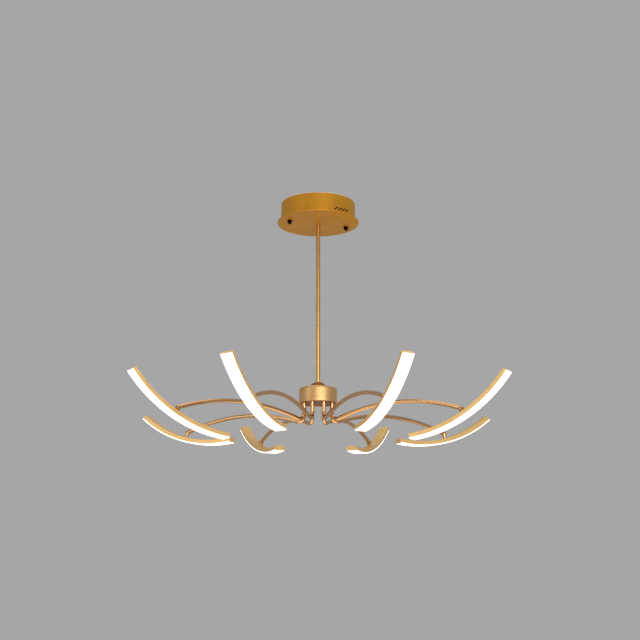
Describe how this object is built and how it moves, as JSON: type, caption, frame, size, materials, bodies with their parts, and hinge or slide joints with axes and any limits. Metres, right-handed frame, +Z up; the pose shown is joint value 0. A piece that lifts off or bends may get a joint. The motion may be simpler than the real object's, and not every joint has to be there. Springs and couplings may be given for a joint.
{
  "type": "chandelier",
  "caption": "Semi-flush ceiling chandelier: round canopy, straight rod and drum hub with thin arched arms that swivel, each carrying a curved LED light bar.",
  "frame": {"origin": "middle of the ceiling plane, on the rod's axis, where the bracket's top face meets the ceiling", "axes": "+Z up along the rod into the ceiling, -Y the front of the light, +X to the right seen from the front"},
  "size_m": [0.889, 0.9297, 0.6006],
  "materials": {
    "gold_paint": "satin gold paint",
    "brushed_gold": "brushed gold",
    "dark_gold": "satin",
    "gold_tube": "satin",
    "gold_profile": "satin gold paint",
    "swivel_pin": "polished",
    "white_diffuser": "matt white silicone",
    "led_board": "white solder mask",
    "zinc_steel": "zinc plated",
    "dark_nut": "gloss dark bronze",
    "driver_case": "matt"
  },
  "bodies": {
    "fixture": {"ceiling_bracket": "zinc_steel", "canopy_drum": "gold_paint", "canopy_face": "gold_paint", "canopy_cap_nuts": "dark_nut", "led_driver": "driver_case", "upper_rod": "gold_paint", "rod_coupler": "zinc_steel", "lower_rod": "gold_paint", "rod_nuts": "zinc_steel", "rod_collar": "gold_paint", "hub_cover": "brushed_gold", "hub_base": "dark_gold"},
    "arm_1": {"arm_tube_1": "gold_tube"},
    "light_bar_1": {"bar_pin_1": "swivel_pin", "light_channel_1": "gold_profile", "light_diffuser_1": "white_diffuser", "bar_end_caps_1": "gold_profile", "led_strip_1": "led_board"},
    "arm_2": {"arm_tube_2": "gold_tube"},
    "light_bar_2": {"bar_pin_2": "swivel_pin", "light_channel_2": "gold_profile", "light_diffuser_2": "white_diffuser", "bar_end_caps_2": "gold_profile", "led_strip_2": "led_board"},
    "arm_3": {"arm_tube_3": "gold_tube"},
    "light_bar_3": {"bar_pin_3": "swivel_pin", "light_channel_3": "gold_profile", "light_diffuser_3": "white_diffuser", "bar_end_caps_3": "gold_profile", "led_strip_3": "led_board"},
    "arm_4": {"arm_tube_4": "gold_tube"},
    "light_bar_4": {"bar_pin_4": "swivel_pin", "light_channel_4": "gold_profile", "light_diffuser_4": "white_diffuser", "bar_end_caps_4": "gold_profile", "led_strip_4": "led_board"},
    "arm_5": {"arm_tube_5": "gold_tube"},
    "light_bar_5": {"bar_pin_5": "swivel_pin", "light_channel_5": "gold_profile", "light_diffuser_5": "white_diffuser", "bar_end_caps_5": "gold_profile", "led_strip_5": "led_board"},
    "arm_6": {"arm_tube_6": "gold_tube"},
    "light_bar_6": {"bar_pin_6": "swivel_pin", "light_channel_6": "gold_profile", "light_diffuser_6": "white_diffuser", "bar_end_caps_6": "gold_profile", "led_strip_6": "led_board"},
    "arm_7": {"arm_tube_7": "gold_tube"},
    "light_bar_7": {"bar_pin_7": "swivel_pin", "light_channel_7": "gold_profile", "light_diffuser_7": "white_diffuser", "bar_end_caps_7": "gold_profile", "led_strip_7": "led_board"},
    "arm_8": {"arm_tube_8": "gold_tube"},
    "light_bar_8": {"bar_pin_8": "swivel_pin", "light_channel_8": "gold_profile", "light_diffuser_8": "white_diffuser", "bar_end_caps_8": "gold_profile", "led_strip_8": "led_board"}
  },
  "joints": [
    {"name": "arm_1_swivel", "type": "hinge", "parent": "fixture", "child": "arm_1", "pos_m": [0.01339, -0.03234, -0.4925], "axis": [0, 0, 1], "range_deg": [-14, 16]},
    {"name": "light_bar_1_swivel", "type": "hinge", "parent": "arm_1", "child": "light_bar_1", "pos_m": [0.13658, -0.34506, -0.54075], "axis": [-0.163, 0.4137, 0.8957], "range_deg": [-40, 40]},
    {"name": "arm_2_swivel", "type": "hinge", "parent": "fixture", "child": "arm_2", "pos_m": [0.03234, -0.01339, -0.4925], "axis": [0, 0, 1], "range_deg": [-4, 26]},
    {"name": "light_bar_2_swivel", "type": "hinge", "parent": "arm_2", "child": "light_bar_2", "pos_m": [0.31233, -0.19872, -0.54092], "axis": [-0.3966, 0.2625, 0.8796], "range_deg": [-41.5, 38.5]},
    {"name": "arm_3_swivel", "type": "hinge", "parent": "fixture", "child": "arm_3", "pos_m": [0.03234, 0.01339, -0.4925], "axis": [0, 0, 1], "range_deg": [-25, 5]},
    {"name": "light_bar_3_swivel", "type": "hinge", "parent": "arm_3", "child": "light_bar_3", "pos_m": [0.31739, 0.19499, -0.54002], "axis": [-0.2311, -0.1472, 0.9617], "range_deg": [-32, 48]},
    {"name": "arm_4_swivel", "type": "hinge", "parent": "fixture", "child": "arm_4", "pos_m": [0.01339, 0.03234, -0.4925], "axis": [0, 0, 1], "range_deg": [-16.5, 13.5]},
    {"name": "light_bar_4_swivel", "type": "hinge", "parent": "arm_4", "child": "light_bar_4", "pos_m": [0.13435, 0.34745, -0.54016], "axis": [-0.1131, -0.2947, 0.9489], "range_deg": [-38.5, 41.5]},
    {"name": "arm_5_swivel", "type": "hinge", "parent": "fixture", "child": "arm_5", "pos_m": [-0.01339, 0.03234, -0.4925], "axis": [0, 0, 1], "range_deg": [-16.5, 13.5]},
    {"name": "light_bar_5_swivel", "type": "hinge", "parent": "arm_5", "child": "light_bar_5", "pos_m": [-0.15068, 0.34068, -0.54016], "axis": [0.1284, -0.2884, 0.9489], "range_deg": [-40.5, 39.5]},
    {"name": "arm_6_swivel", "type": "hinge", "parent": "fixture", "child": "arm_6", "pos_m": [-0.03234, 0.01339, -0.4925], "axis": [0, 0, 1], "range_deg": [-8.5, 21.5]},
    {"name": "light_bar_6_swivel", "type": "hinge", "parent": "arm_6", "child": "light_bar_6", "pos_m": [-0.32794, 0.17725, -0.54002], "axis": [0.2396, -0.1328, 0.9617], "range_deg": [-42, 38]},
    {"name": "arm_7_swivel", "type": "hinge", "parent": "fixture", "child": "arm_7", "pos_m": [-0.03234, -0.01339, -0.4925], "axis": [0, 0, 1], "range_deg": [-28.5, 1.5]},
    {"name": "light_bar_7_swivel", "type": "hinge", "parent": "arm_7", "child": "light_bar_7", "pos_m": [-0.30398, -0.21075, -0.54092], "axis": [0.3848, 0.2796, 0.8796], "range_deg": [-37.5, 42.5]},
    {"name": "arm_8_swivel", "type": "hinge", "parent": "fixture", "child": "arm_8", "pos_m": [-0.01339, -0.03234, -0.4925], "axis": [0, 0, 1], "range_deg": [-17, 13]},
    {"name": "light_bar_8_swivel", "type": "hinge", "parent": "arm_8", "child": "light_bar_8", "pos_m": [-0.1311, -0.34716, -0.54075], "axis": [0.1557, 0.4165, 0.8957], "range_deg": [-36, 44]}
  ]
}
